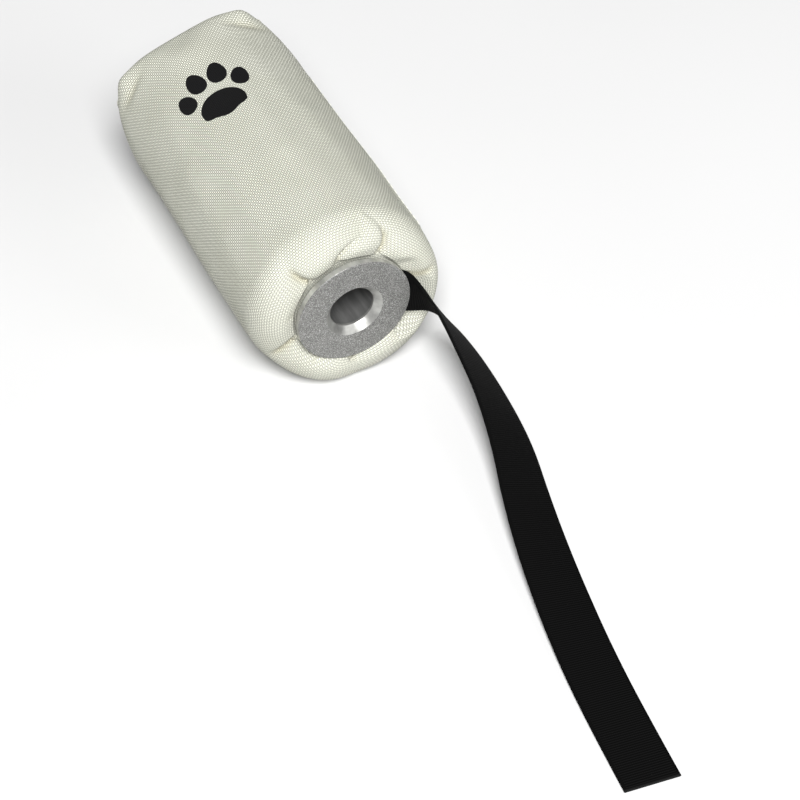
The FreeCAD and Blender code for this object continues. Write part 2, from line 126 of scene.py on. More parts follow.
GORES = list(zip(STRONG_PLEATS, STRONG_PLEATS[1:] + STRONG_PLEATS[:1]))

# Paw print: centre across, centre along, half width, half length, lean, in millimetres and degrees.
PAW_PADS = [
    (-14.2, 4.5, 4.3, 6.2, 20),
    (-5.4, 12.0, 4.6, 6.8, 6),
    (5.4, 12.0, 4.6, 6.8, -6),
    (14.2, 4.5, 4.3, 6.2, -20),
]


# ---- mesh helpers

def link_object(name, data):
    """A scene object that shows a mesh, curve, light or camera."""
    obj = bpy.data.objects.new(name, data)
    bpy.context.scene.collection.objects.link(obj)
    return obj


def new_mesh(name, verts, faces, material, smooth=True, turn_outward=True):
    """A mesh object in metres from lists of points and faces."""
    mesh = bpy.data.meshes.new(name)
    mesh.from_pydata([tuple(v) for v in verts], [], faces)
    if turn_outward:
        form = bmesh.new()
        form.from_mesh(mesh)
        bmesh.ops.recalc_face_normals(form, faces=form.faces)
        form.to_mesh(mesh)
        form.free()
    mesh.update()
    mesh.materials.append(material)
    if smooth:
        mesh.shade_smooth()
    return link_object(name, mesh)


def set_uv(obj, coordinates):
    """Gives each vertex's pair of numbers, in millimetres, to the mesh as its UV map."""
    layer = obj.data.uv_layers.new(name="yarns")
    loops = np.empty(len(obj.data.loops), np.int32)
    obj.data.loops.foreach_get("vertex_index", loops)
    layer.data.foreach_set("uv", np.asarray(coordinates, np.float32)[loops].ravel())


def grid_faces(rows, columns, torus=False):
    """Quads between neighbouring rings of points; a torus also joins the last ring to the first."""
    faces = []
    for i in range(rows if torus else rows - 1):
        here = i * columns
        after = (i + 1) % rows * columns
        for j in range(columns):
            k = (j + 1) % columns
            faces.append((here + j, here + k, after + k, after + j))
    return faces


def new_skins(name, skins, material, yarns=None, torus=False):
    """Closed skins in one mesh, each over its own run of rings of points, with UV pairs from yarns.

    A skin has a cap at both ends, or is a torus.
    """
    verts = []
    faces = []
    for rings in skins:
        start = len(verts)
        count = len(rings[0])
        for ring in rings:
            verts.extend(ring)
        faces += [tuple(start + v for v in face) for face in grid_faces(len(rings), count, torus)]
        if not torus:
            faces.append(tuple(range(start, start + count))[::-1])
            faces.append(tuple(range(len(verts) - count, len(verts))))
    obj = new_mesh(name, verts, faces, material)
    if yarns:
        set_uv(obj, yarns)
    return obj


def wrapped_yarns(skins, girth, pitch):
    """UV pairs in millimetres: the girth once round a ring, and the pitch from ring to ring."""
    return [(girth * j / len(ring), pitch * i)
            for rings in skins for i, ring in enumerate(rings) for j in range(len(ring))]


def metres(points):
    """Places in the scene for points in millimetres from the ring's face on the axis."""
    return np.asarray(points) * MM + np.array([0.0, FACE, AXIS_HEIGHT])


def about_axis(radius, along, theta):
    """Points in millimetres from a radius, a distance behind the ring's face and an angle."""
    return np.stack(np.broadcast_arrays(radius * np.cos(theta), along, radius * np.sin(theta)), axis=-1)


def unit(vectors):
    """The same directions with length 1."""
    return vectors / np.maximum(np.linalg.norm(vectors, axis=-1, keepdims=True), 1e-12)


def eased_directions(directions):
    """Each direction averaged with the four before and the four after it."""
    kernel = np.ones(9) / 9
    padded = np.pad(directions, ((4, 4), (0, 0)), mode="edge")
    return unit(np.stack([np.convolve(padded[:, k], kernel, mode="valid") for k in range(3)], axis=1))


def travelled(points):
    """Distance over the points from the first row to each row."""
    steps = np.linalg.norm(np.diff(points, axis=0), axis=-1)
    return np.concatenate([np.zeros((1, *steps.shape[1:])), np.cumsum(steps, axis=0)])


def centred(angle):
    """An angle brought between minus and plus half a turn."""
    return np.mod(angle + math.pi, FULL_TURN) - math.pi


def smooth_step(low, high, value):
    """0 below low, 1 above high, and an even curve between."""
    share = np.clip((value - low) / (high - low), 0.0, 1.0)
    return share * share * (3 - 2 * share)


# ---- materials

class Look:
    """A material with its Principled shader, and short ways to build its nodes."""

    def __init__(self, name, base, roughness, metallic=0.0):
        self.material = bpy.data.materials.new(name)
        self.material.use_nodes = True
        self.tree = self.material.node_tree
        self.shader = self.tree.nodes["Principled BSDF"]
        self.set("Base Color", base)
        self.set("Roughness", roughness)
        self.set("Metallic", metallic)

    def feed(self, socket, value):
        """Gives a socket a number or a colour, or links another node's output to it."""
        if isinstance(value, (int, float)):
            socket.default_value = value
        elif isinstance(value, tuple):
            socket.default_value = (*value, 1.0)
        else:
            self.tree.links.new(value, socket)

    def set(self, name, value):
        """Feeds one socket of the Principled shader."""
        self.feed(self.shader.inputs[name], value)

    def node(self, kind, inputs, **properties):
        """A new node: first its properties, then its sockets."""
        node = self.tree.nodes.new("ShaderNode" + kind)
        for key, value in properties.items():
            setattr(node, key, value)
        for key, value in inputs.items():
            self.feed(node.inputs[key], value)
        return node

    def math(self, operation, *values):
        """A Math node's output."""
        return self.node("Math", dict(enumerate(values)), operation=operation).outputs[0]

    def mix(self, kind, factor, first, second):
        """A colour Mix node's output."""
        inputs = {0: factor, 6: first, 7: second}
        return self.node("Mix", inputs, data_type="RGBA", blend_type=kind).outputs[2]

    def noise(self, place, scale, detail=2.0, roughness=0.5):
        """A noise texture's value."""
        inputs = {"Vector": place, "Scale": scale, "Detail": detail, "Roughness": roughness}
        return self.node("TexNoise", inputs).outputs["Fac"]

    def ramp(self, factor, *stops):
        """A colour ramp's output, with stops of (position, colour)."""
        node = self.node("ValToRGB", {"Fac": factor})
        elements = node.color_ramp.elements
        while len(elements) < len(stops):
            elements.new(0.5)
        for element, (position, colour) in zip(elements, stops):
            element.position = position
            element.color = (*colour, 1.0)
        return node.outputs["Color"]

    def bump(self, height, strength, distance):
        """Drives the shader's normal from a height."""
        inputs = {"Height": height, "Strength": strength, "Distance": distance}
        self.set("Normal", self.node("Bump", inputs).outputs["Normal"])

    def place(self):
        """Object coordinates, in metres."""
        return self.node("TexCoord", {}).outputs["Object"]

    def parts(self, vector):
        """The separate components of a vector."""
        return self.node("SeparateXYZ", {0: vector}).outputs

    def yarns(self):
        """The two UV numbers, in millimetres."""
        return self.parts(self.node("UVMap", {}, uv_map="yarns").outputs["UV"])[:2]

    def attribute(self, name):
        """A number that the mesh holds for each vertex."""
        return self.node("Attribute", {}, attribute_name=name).outputs["Fac"]


def dimmed(colour, share):
    """A share of a colour's brightness."""
    return tuple(share * c for c in colour)


def plain_weave(look):
    """Plain weave of round yarns: gives the height, and 1 where a lengthwise yarn is on top."""
    counts = []
    rounds = []
    for place, pitch in zip(look.yarns(), (WARP_PITCH, WEFT_PITCH)):
        yarn = look.math("DIVIDE", place, pitch)
        counts.append(look.math("FLOOR", yarn))
        rounds.append(look.math("SINE", look.math("MULTIPLY", look.math("FRACT", yarn), math.pi)))
    on_top = look.math("FLOORED_MODULO", look.math("ADD", *counts), 2.0)
    warp_crown, weft_crown = [
        look.math("MULTIPLY", own, look.math("MULTIPLY_ADD", other, 0.55, 0.45))
        for own, other in (rounds, rounds[::-1])
    ]
    difference = look.math("SUBTRACT", warp_crown, weft_crown)
    return look.math("MULTIPLY_ADD", difference, on_top, weft_crown), on_top


def canvas_material(name, base, shade, contrast):
    """Coarse plain-weave canvas, or ink on it; contrast is how far the crosswise yarns are darkened."""
    look = Look(name, base, 0.85)
    height, on_top = plain_weave(look)
    woven = look.ramp(height, (0.05, dimmed(shade, 0.22)), (0.5, shade), (0.85, base))
    crosswise = look.math("MULTIPLY", look.math("SUBTRACT", 1.0, on_top), contrast)
    woven = look.mix("MULTIPLY", crosswise, woven, (0.55, 0.55, 0.53))
    # Painted shade: the crease tint darkens the canvas to a warm brown in creases, grooves and valleys.
    tints = (("mouth", 0.4, "MIX", (0.50, 0.50, 0.44)), ("crease", 0.45, "MULTIPLY", (0.78, 0.70, 0.50)))
    # Near the mouth the weave is mixed towards one even colour: partly stretched, more open cloth, partly
    # painted highlight that washes the weave out on the bright puffs.
    for name, share, kind, tint in tints:
        woven = look.mix(kind, look.math("MULTIPLY", look.attribute(name), share), woven, tint)
    cloudy = look.noise(look.place(), 45.0, 3.0)
    cloud = look.ramp(cloudy, (0.3, (0.93, 0.93, 0.91)), (0.7, (1.0, 1.0, 1.0)))
    look.set("Base Color", look.mix("MULTIPLY", 1.0, woven, cloud))
    fuzz = look.noise(look.place(), 2500.0)
    look.bump(look.math("MULTIPLY_ADD", fuzz, 0.25, height), 0.8, 0.0003)
    look.set("Specular IOR Level", 0.2)
    return look.material


def webbing_material(length):
    """Black webbing: fine ribs, a smooth selvedge at each edge and a melted line at the cut end."""
    look = Look("webbing_black", (0.010, 0.010, 0.011), 0.7)
    across, along = look.yarns()
    rib, strand = [
        look.math("SINE", look.math("MULTIPLY", place, FULL_TURN / pitch))
        for place, pitch in ((along, 1.1), (across, 0.85))
    ]
    crossed = look.math("MULTIPLY_ADD", look.math("MULTIPLY", rib, strand), 0.35, rib)
    selvedge = STREAMER_WIDTH / MM / 2 - 1.3
    inner = look.math("LESS_THAN", look.math("ABSOLUTE", across), selvedge)
    height = look.math("MULTIPLY", crossed, inner)
    look.bump(height, 0.5, 0.00012)
    shine = look.ramp(
        look.math("MULTIPLY_ADD", height, 0.4, 0.5),
        (0.0, (0.0006, 0.0006, 0.0006)), (0.6, (0.002, 0.002, 0.002)), (1.0, (0.006, 0.006, 0.006)),
    )
    melted = look.math("GREATER_THAN", along, length / MM - 0.7)
    look.set("Base Color", look.mix("MIX", melted, shine, (0.008, 0.008, 0.008)))
    look.set("Specular IOR Level", 0.06)
    return look.material


def tumbled_aluminium():
    """Ring face: grey, matt, with a fine bright grain."""
    look = Look("tumbled_aluminium", (0.42, 0.43, 0.43), 0.5, 0.6)
    fine = look.noise(look.place(), 3000.0, 2.0, 0.7)
    broad = look.noise(look.place(), 260.0, 3.0)
    stops = ((0.40, (0.14, 0.14, 0.135)), (0.54, (0.23, 0.23, 0.22)), (0.66, (0.62, 0.62, 0.60)))
    grain = look.ramp(fine, *stops)
    tone = look.ramp(broad, (0.3, (0.86, 0.86, 0.86)), (0.7, (1.0, 1.0, 1.0)))
    look.set("Base Color", look.mix("MULTIPLY", 1.0, grain, tone))
    look.set("Roughness", look.math("MULTIPLY_ADD", fine, 0.35, 0.32))
    look.bump(look.math("MULTIPLY_ADD", broad, 0.3, fine), 0.35, 0.00008)
    return look.material


def turned_aluminium(name, base, roughness):
    """Smooth machined metal with faint rings left by the tool and lengthwise smears."""
    look = Look(name, base, roughness, 0.7)
    marks = look.math("SINE", look.math("MULTIPLY", look.parts(look.place())["Y"], 9000.0))
    drawn_out = look.node("Mapping", {"Vector": look.place()})
    drawn_out.inputs["Scale"].default_value = (1.0, 0.15, 1.0)
    smudge = look.noise(drawn_out.outputs["Vector"], 170.0, 4.0, 0.6)
    look.set("Roughness", look.math("MULTIPLY_ADD", smudge, 0.1, roughness - 0.05))
    look.set("Base Color", look.ramp(smudge, (0.36, dimmed(base, 0.6)), (0.64, base)))
    look.bump(marks, 0.08, 0.00003)
    return look.material


def grained_plastic(name, base, roughness, scale):
    """Moulded plastic, thread or foam: fine grain in colour and bump."""
    look = Look(name, base, roughness)
    grain = look.noise(look.place(), scale, 4.0, 0.6)
    look.set("Base Color", look.ramp(grain, (0.3, dimmed(base, 0.8)), (0.7, base)))
    look.bump(grain, 0.4, 0.0002)
    return look.material


# ---- camera, light, floor

def aimed(position, target, roll):
    """Rotation for a camera or light that looks from one point at another."""
    forward = (target - position).normalized()
    right = forward.cross(Vector((0, 0, 1))).normalized()
    up = right.cross(forward)
    matrix = Matrix((right, up, -forward)).transposed()
    return (matrix @ Matrix.Rotation(roll, 3, "Z")).to_4x4()


def add_camera(target):
    """Long lens, high and to the left of the mouth."""
    azimuth = math.radians(-27.03)
    elevation = math.radians(46.53)
    roll = math.radians(0.74)
    distance = 1.0847
    level = math.cos(elevation)
    toward = Vector((math.sin(azimuth) * level, -math.cos(azimuth) * level, math.sin(elevation)))
    data = bpy.data.cameras.new("camera")
    data.sensor_width = 36.0
    data.lens = 110.76
    data.clip_end = 20.0
    camera = link_object("camera", data)
    camera.matrix_world = aimed(target + toward * distance, target, roll)
    camera.location = target + toward * distance
    bpy.context.scene.camera = camera


def add_area_light(name, target, offset, width, power):
    """Square soft light that looks at the target."""
    data = bpy.data.lights.new(name, "AREA")
    data.shape = "SQUARE"
    data.size = width
    data.energy = power
    light = link_object(name, data)
    light.matrix_world = aimed(target + offset, target, 0)
    light.location = target + offset


def add_studio(centre):
    """Faint white world, a soft key light to the left, a fill light to the right, and a pale floor."""
    world = bpy.data.worlds.new("studio")
    world.use_nodes = True
    background = world.node_tree.nodes["Background"]
    background.inputs["Color"].default_value = (1.0, 1.0, 1.0, 1.0)
    background.inputs["Strength"].default_value = 0.06
    bpy.context.scene.world = world
    bpy.context.scene.view_settings.view_transform = "Standard"
    add_area_light("key", centre, Vector((-0.95, -2.7, 3.7)), 2.0, 400.0)
    add_area_light("fill", centre, Vector((2.1, -3.0, 1.5)), 1.8, 40.0)
    look = Look("floor_white", (0.64, 0.64, 0.64), 0.8)
    cloudy = look.noise(look.place(), 3.0)
    look.set("Base Color", look.ramp(cloudy, (0.3, (0.63, 0.63, 0.63)), (0.7, (0.65, 0.65, 0.65))))
    size = 4.0
    corners = [(-size, -size, 0), (size, -size, 0), (size, size, 0), (-size, size, 0)]
    floor = new_mesh("floor", corners, [(0, 1, 2, 3)], look.material, smooth=False)


# ---- streamer

def route_line():
    """Points along the smooth line that has the route as its control points."""
    curve = bpy.data.curves.new("streamer_line", "CURVE")
    curve.dimensions = "3D"
    curve.resolution_u = 16
    spline = curve.splines.new("NURBS")
    spline.points.add(len(STREAMER_ROUTE) - 1)
    for point, place in zip(spline.points, STREAMER_ROUTE):
        point.co = (*place, 1.0)
    spline.order_u = 3
    spline.use_endpoint_u = True
    holder = link_object("streamer_line", curve)
    depsgraph = bpy.context.evaluated_depsgraph_get()
    mesh = bpy.data.meshes.new_from_object(holder.evaluated_get(depsgraph))
    line = np.array([v.co for v in mesh.vertices])
    bpy.data.objects.remove(holder)
    bpy.data.meshes.remove(mesh)
    return line


def directions_along(line):
    """Direction across the webbing at every point of the line, eased between the listed ones."""
    nearest = [int(np.argmin(np.linalg.norm(line - np.array(point), axis=1))) for point in STREAMER_ROUTE]
    nearest[0] = 0
    nearest[-1] = len(line) - 1
    listed = np.array(STREAMER_ACROSS)
    across = [np.interp(range(len(line)), nearest, listed[:, k]) for k in range(3)]
    return eased_directions(np.stack(across, axis=1))


def strap_section(steps):
    """Outline of the webbing's section: a flat strip with rounded edges, as (across, height)."""
    half = STREAMER_WIDTH / 2
    rim = STREAMER_THICKNESS / 2
    upper = [(a, rim) for a in np.linspace(-half + rim, half - rim, steps)]
    upper += [(half - rim + rim * math.sin(t), rim * math.cos(t)) for t in np.linspace(0, math.pi, 5)[1:-1]]
    return upper + [(-a, -h) for a, h in upper]


def make_streamer():
    """The webbing, its section carried along the line."""
    line = route_line()
    across = directions_along(line)
    normal = unit(np.cross(unit(np.gradient(line, axis=0)), across))
    distance = travelled(line)
    section = strap_section(15)
    rings = [[centre + aside * a + up * h for a, h in section]
             for centre, aside, up in zip(line, across, normal)]
    yarns = [(a / MM, d / MM) for d in distance for a, _ in section]
    strap = new_skins("streamer_webbing", [rings], webbing_material(distance[-1]), yarns)
    strap.data.set_sharp_from_angle(angle=math.radians(50))
    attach(strap, BODY)
    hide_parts("streamer_strap")


# ---- canvas cover

def square_reach(theta, half_side, corner):
    """Distance from the axis to the edge of the turned square with round corners, at each angle."""
    quarter = math.pi / 2
    away = np.abs(np.mod(theta - SQUARE_TURN + quarter / 2, quarter) - quarter / 2)
    straight = half_side - corner
    middle = straight * (np.cos(away) + np.sin(away))
    rounded = middle + np.sqrt(np.maximum(middle ** 2 - 2 * straight ** 2 + corner ** 2, 0))
    return np.where(half_side * np.tan(away) <= straight, half_side / np.cos(away), rounded)


def square_axes(points):
    """Distances of points from the axis along the two sides of the turned square."""
    x = points[..., 0]
    z = points[..., 2]
    c = math.cos(SQUARE_TURN)
    s = math.sin(SQUARE_TURN)
    return x * c + z * s, z * c - x * s


def spaced(points, count):
    """Radius and distance along of evenly spaced points on a line through the given ones."""
    points = np.array(points)
    run = travelled(points)
    wanted = np.linspace(0, run[-1], count)
    return np.stack([np.interp(wanted, run, points[:, k]) for k in range(2)])


def arc_rows(centre_radius, centre_along, radius, start, end, steps):
    """Rows round part of a circle in the (radius, along) plane; angles in degrees, 0 outward, 90 back."""
    return [(centre_radius + radius * math.cos(t), centre_along + radius * math.sin(t))
            for t in np.radians(np.linspace(start, end, steps))]


def rim_fullness(theta):
    """1 on the lower side of the mouth, where the canvas swells forward, 0 on the upper side."""
    turn = np.mod(np.degrees(theta) - 60, 360) + 60
    return smooth_step(*RIM_SWELLS, turn) * (1 - smooth_step(*RIM_SINKS, turn))


def round_rows(theta):
    """Radius and distance along, for every angle, for the neck, the front, the shoulder and the body.

    The front is flat on the upper side of the mouth and swells forward on the lower side.
    """
    edge = (27.7, 5.2)
    neck = [(16.1, 16.0), (16.0, 12.0), (16.2, 9.8), (17.4, 8.0), (20.0, 6.9), (24.0, 6.3), (26.6, 6.0),
            (27.3, 5.7), edge]
    flat = [edge, (27.9, 4.8), (28.5, FRONT)]
    flat += arc_rows(BODY_RADIUS - SHOULDER, FRONT + SHOULDER, SHOULDER, -90, 0, 40)
    crest = BODY_RADIUS - RIM_RADIUS
    swollen = [edge]
    swollen += arc_rows(crest, FRONT, FRONT + RIM, -170, -90, 20)
    swollen += arc_rows(crest, RIM_RADIUS - RIM, RIM_RADIUS, -90, 0, 40)[1:]
    swollen.append((BODY_RADIUS, FRONT + SHOULDER))
    side = [(BODY_RADIUS, FRONT + SHOULDER), (BODY_RADIUS, SQUARE_START)]
    upper, lower = [spaced(profile, FRONT_ROWS + 1)[:, 1:, None] for profile in (flat, swollen)]
    full = rim_fullness(theta)
    parts = [spaced(neck, NECK_ROWS)[:, :, None], upper * (1 - full) + lower * full,
             spaced(side, SIDE_ROWS + 1)[:, 1:, None]]
    return np.concatenate([np.broadcast_to(part, (*part.shape[:2], len(theta))) for part in parts], axis=1)


def end_rows(theta):
    """Radius and distance along, for every angle, from the round body to the middle of the square end."""
    rows = []
    for angle in np.linspace(0, math.pi / 2, 40):
        share = 1 - math.cos(angle)
        half_side = BODY_RADIUS + (HALF_SIDE - BODY_RADIUS) * share
        corner = BODY_RADIUS + (CORNER_RADIUS - BODY_RADIUS) * share
        along = SQUARE_START + (SQUARE_END - SQUARE_START) * math.sin(angle)
        rows.append((square_reach(theta, half_side, corner), np.full_like(theta, along)))
    for scale in np.linspace(1, 0.02, 50)[1:]:
        along = SQUARE_END + DOME * (1 - scale ** 2)
        rows.append((scale * square_reach(theta, HALF_SIDE, CORNER_RADIUS), np.full_like(theta, along)))
    rows = np.array(rows)
    return eased(np.stack([spaced(rows[:, :, j], END_ROWS) for j in range(len(theta))], axis=2), 2.0)


def eased(even, width):
    """Rounds the edge between the sides and the end: a weighted average of neighbouring rows."""
    reach = int(3 * width)
    weights = np.exp(-0.5 * (np.arange(-reach, reach + 1) / width) ** 2)
    weights /= weights.sum()
    padded = np.pad(even, ((0, 0), (reach, reach), (0, 0)), mode="reflect", reflect_type="odd")
    result = np.zeros_like(even)
    for k, weight in enumerate(weights):
        result += weight * padded[:, k:k + even.shape[1]]
    return result


def grid_normals(points):
    """Outward normals and directions around, for a grid of points whose columns close into a ring."""
    around = np.roll(points, -1, axis=1) - np.roll(points, 1, axis=1)
    return unit(np.cross(np.gradient(points, axis=0), around)), unit(around)


class CoverSurface:
    """The canvas as a grid: rows run from the neck to the middle of the end, columns run round the axis.

    Everything is in millimetres from the ring's face, on the axis. "out" is the distance over the cloth
    from the mouth's edge; "run" is the same but agrees with "along" on the side of the body.
    """

    def __init__(self):
        self.theta = np.arange(COLUMNS) * FULL_TURN / COLUMNS
        body = round_rows(self.theta)
        end = end_rows(self.theta)[:, 1:]
        self.radius, self.along = np.concatenate([body, end], axis=1)
        self.body_rows = body.shape[1]
        run = travelled(np.stack([self.radius, self.along], axis=-1))
        self.out = run - run[NECK_ROWS - 1]
        self.run = run - run[self.body_rows - 1] + SQUARE_START
        self.points = about_axis(self.radius, self.along, self.theta)
        # Painted shade: how far the canvas colour is darkened in creases, grooves and valleys, from 0 to 1.
        self.crease = np.zeros(self.radius.shape)
        over = self.along > SQUARE_END - 0.5
        inside = self.radius < square_reach(self.theta, HALF_SIDE, CORNER_RADIUS) - 1.5
        self.end_row = int(np.argmax(np.all(over & inside, axis=1)))

    def pleat_angles(self, pleat):
        """Angle of a pleat's line at every row, as a column."""
        column = int(pleat.start / 360 * COLUMNS) % COLUMNS
        share = np.clip(self.out[:, column] / pleat.reach, 0, 1.2)
        return np.radians(pleat.start + pleat.sweep * share + pleat.curl * share ** 2)[:, None]

    def fold_pleats(self):
        """Folds that run out from the ring, each with one side lapping over the other, with painted shade
        that darkens the canvas along each crease.
        """
        normal, around = grid_normals(self.points)
        rise = np.zeros(self.radius.shape)
        slide = np.zeros(self.radius.shape)
        for pleat in PLEATS:
            away = pleat.side * self.radius * centred(self.theta - self.pleat_angles(pleat))
            fade = 1 - smooth_step(0.5, 1.0, self.out / pleat.reach)
            fade *= smooth_step(-2.0, 1.0, self.out)
            upper = np.exp(-(np.abs(away) / 2.0) ** 2)
            lower = np.exp(-(np.abs(away) / 3.6) ** 1.3)
            rise -= pleat.depth * fade * np.where(away > 0, upper, lower)
            lap = np.where(away > 0, away / 1.2 * np.exp(1 - away / 1.2), 0)
            slide -= pleat.side * 0.12 * pleat.depth * fade * lap
            # Painted shade: how far the canvas colour darkens along this pleat's crease.
            crease_shade = fade * min(pleat.depth, 1.5) / 1.5 * np.exp(-(away / 1.8) ** 2)
            self.crease = np.maximum(self.crease, crease_shade)
        self.points = self.points + rise[..., None] * normal + slide[..., None] * around

    def puff_gores(self):
        """The cloth swells between the pleats round the mouth."""
        normal, _ = grid_normals(self.points)
        rise = np.zeros(self.radius.shape)
        lip = np.zeros(self.radius.shape)
        for pleat, following in GORES:
            low = self.pleat_angles(pleat)
            width = np.mod(self.pleat_angles(following) - low, FULL_TURN)
            share = np.mod(self.theta - low, FULL_TURN) / width
            height = min(2.6, 1.2 + math.degrees(float(width[0, 0])) * 0.02)
            lobe = (np.sin(math.pi * np.clip(share, 0, 1)) ** 2 + 0.005) ** 0.35 - 0.5
            rise += np.where(share < 1, height * lobe, 0)
            lip += np.where(share < 1, 0.8 * lobe, 0)
        swell = smooth_step(-1.5, 5.0, self.out) * (1 - smooth_step(8.0, 26.0, self.out))
        near_ring = np.exp(-((self.out - 6.0) / 4.0) ** 2)
        self.points = self.points + (rise * swell + lip * near_ring)[..., None] * normal

    def shape_mouth(self):
        """The rolled edge beside the ring runs nearly straight from pleat to pleat."""
        least = 27.8
        edge = np.full(COLUMNS, least)
        for pleat, following in GORES:
            half = math.radians((following.start - pleat.start) % 360 / 2)
            turn = centred(self.theta - math.radians(pleat.start) - half)
            chord = 28.9 * math.cos(half) / np.cos(turn)
            edge = np.where(np.abs(turn) <= half + 1e-9, np.maximum(chord, least), edge)
        weight = np.exp(-((self.radius - 28.0) / 1.6) ** 2) * (self.along < FRONT + 2.5)
        self.points += about_axis(weight * (edge - 28.0), 0.0, self.theta)

    def press_under_streamer(self):
        """The rim lies low where the streamer crosses it."""
        across, along, level = np.moveaxis(self.points, 2, 0)
        floor = FRONT + 0.3 - 0.36 * np.maximum(across - 27.4, 0)
        weight = smooth_step(18, 22, across) * smooth_step(-25, -18, level)
        weight *= 1 - smooth_step(14, 21, level)
        depth = floor - along
        pressed = 0.5 * (depth + np.sqrt(depth ** 2 + 0.6))
        self.points[..., 1] += weight * pressed * smooth_step(-2.0, 0.0, self.out)

    def shape_end(self):
        """Small ears at the four corners, with a soft crease behind each, and grooves along the seams;
        creases and grooves also darken the canvas colour as painted shade.
        """
        normal, _ = grid_normals(self.points)
        rise = np.zeros(self.radius.shape)
        for quarter in range(4):
            angle = SQUARE_TURN + math.pi / 4 + quarter * math.pi / 2
            outward = about_axis(1.0, 0.0, angle)
            sideways = about_axis(1.0, 0.0, angle + math.pi / 2)
            reach = float(square_reach(np.array([angle]), HALF_SIDE, CORNER_RADIUS)[0])
            offset = self.points - outward * (reach - 2.0) - np.array([0, SQUARE_END - 2.5, 0])
            inward = -(offset @ unit(outward + np.array([0, 1.1, 0])))
            distance = np.linalg.norm(offset, axis=2)
            valley = np.exp(-((inward - 5.5) / 1.7) ** 2) * np.exp(-(offset @ sideways / 9.0) ** 2)
            valley *= distance < 30
            rise += 1.3 * np.exp(-(distance / 5.0) ** 2) - 1.1 * valley
            # Painted shade: the valley behind each ear darkens the canvas colour.
            self.crease = np.maximum(self.crease, 0.5 * valley)
        across, aside = square_axes(self.points)
        on_end = smooth_step(SQUARE_END - 3, SQUARE_END + 1, self.along)
        groove = np.exp(-(aside / 1.8) ** 2) * on_end * (np.abs(across) < 36.5)
        # Painted shade: the grooves along the end seams darken the canvas colour.
        self.crease = np.maximum(self.crease, groove)
        pucker = 0.75 + 0.25 * np.cos(FULL_TURN * across / 3.6)
        self.points = self.points + (rise - 1.1 * groove * pucker)[..., None] * normal

    def relax(self):
        """Cloth simulation of a coarse copy: its unevenness is carried over to the fine grid."""
        rows = [int(np.argmin(np.abs(self.out[:, 0] - out)))
                for out in np.arange(-1.0, float(self.out[-1, 0]) - 6, 3.2)]
        coarse = self.points[rows][:, ::COARSE]
        count, columns = coarse.shape[:2]
        mesh = bpy.data.meshes.new("cloth_copy")
        mesh.from_pydata([tuple(p) for p in coarse.reshape(-1, 3) * MM], [], grid_faces(count, columns))
        copy = link_object("cloth_copy", mesh)
        scene = bpy.context.scene
        pins = copy.vertex_groups.new(name="pins")
        ends = list(range(2 * columns)) + list(range((count - 2) * columns, count * columns))
        pins.add(ends, 1.0, "REPLACE")
        cloth = copy.modifiers.new("cloth", "CLOTH")
        for name, value in CLOTH_SETTINGS.items():
            setattr(cloth.settings, name, value)
        cloth.settings.vertex_group_mass = "pins"
        cloth.settings.effector_weights.gravity = 0.0
        cloth.point_cache.frame_start = 1
        cloth.point_cache.frame_end = CLOTH_FRAMES
        for number in range(1, CLOTH_FRAMES + 1):
            scene.frame_set(number)
        evaluated = copy.evaluated_get(bpy.context.evaluated_depsgraph_get())
        moved = np.array([v.co for v in evaluated.data.vertices]).reshape(count, columns, 3) / MM - coarse
        scene.frame_set(1)
        bpy.data.objects.remove(copy)
        bpy.data.meshes.remove(mesh)
        self.carry_over(moved, rows, coarse)

    def carry_over(self, moved, rows, coarse):
        """Takes the even swelling out of the moves, then caps, smooths and spreads the rest."""
        normal, _ = grid_normals(coarse)
        swelling = np.sum(moved * normal, axis=2)
        even = swelling.mean(axis=1)[:, None, None]
        moved = moved - even * normal
        length = np.linalg.norm(moved, axis=2, keepdims=True)
        moved *= np.minimum(1, LARGEST_MOVE / np.maximum(length, 1e-9))
        for _ in range(3):
            moved = 0.5 * moved + 0.25 * (np.roll(moved, 1, axis=1) + np.roll(moved, -1, axis=1))
        places_out = self.out[rows, 0]
        fade = 1 - smooth_step(places_out[-1] - 4, places_out[-1], self.out[:, 0])
        fade *= smooth_step(places_out[0], places_out[0] + 3, self.out[:, 0])
        columns = np.moveaxis(moved, 1, 0)
        places = np.arange(COLUMNS)
        spots = np.arange(0, COLUMNS + 1, COARSE)
        for k in range(3):
            down = np.array([np.interp(self.out[:, 0], places_out, column[:, k]) for column in columns])
            for i, row in enumerate(down.T):
                self.points[i, :, k] += fade[i] * np.interp(places, spots, [*row, row[0]])

    def settle(self):
        """Lays the underside softly on the ground, and keeps the normals for the pieces on the canvas."""
        floor = -AXIS_HEIGHT / MM
        height = self.points[..., 2] - floor
        soft = 0.5 * (height + np.sqrt(height ** 2 + 0.8 ** 2))
        self.points[..., 2] = floor + np.maximum(soft - 0.1, 0.03)
        self.normals, _ = grid_normals(self.points)

    def at(self, theta, run):
        """Point and normal at an angle in radians and a run in millimetres."""
        column = np.mod(theta, FULL_TURN) / FULL_TURN * COLUMNS
        j = int(column) % COLUMNS
        k = (j + 1) % COLUMNS
        side = column - int(column)
        i = int(np.clip(np.searchsorted(self.run[:, j], run) - 1, 0, len(self.run) - 2))
        onward = (run - self.run[i, j]) / (self.run[i + 1, j] - self.run[i, j])
        result = []
        for field in (self.points, self.normals):
            near = field[i, j] * (1 - side) + field[i, k] * side
            far = field[i + 1, j] * (1 - side) + field[i + 1, k] * side
            result.append(near * (1 - onward) + far * onward)
        return result


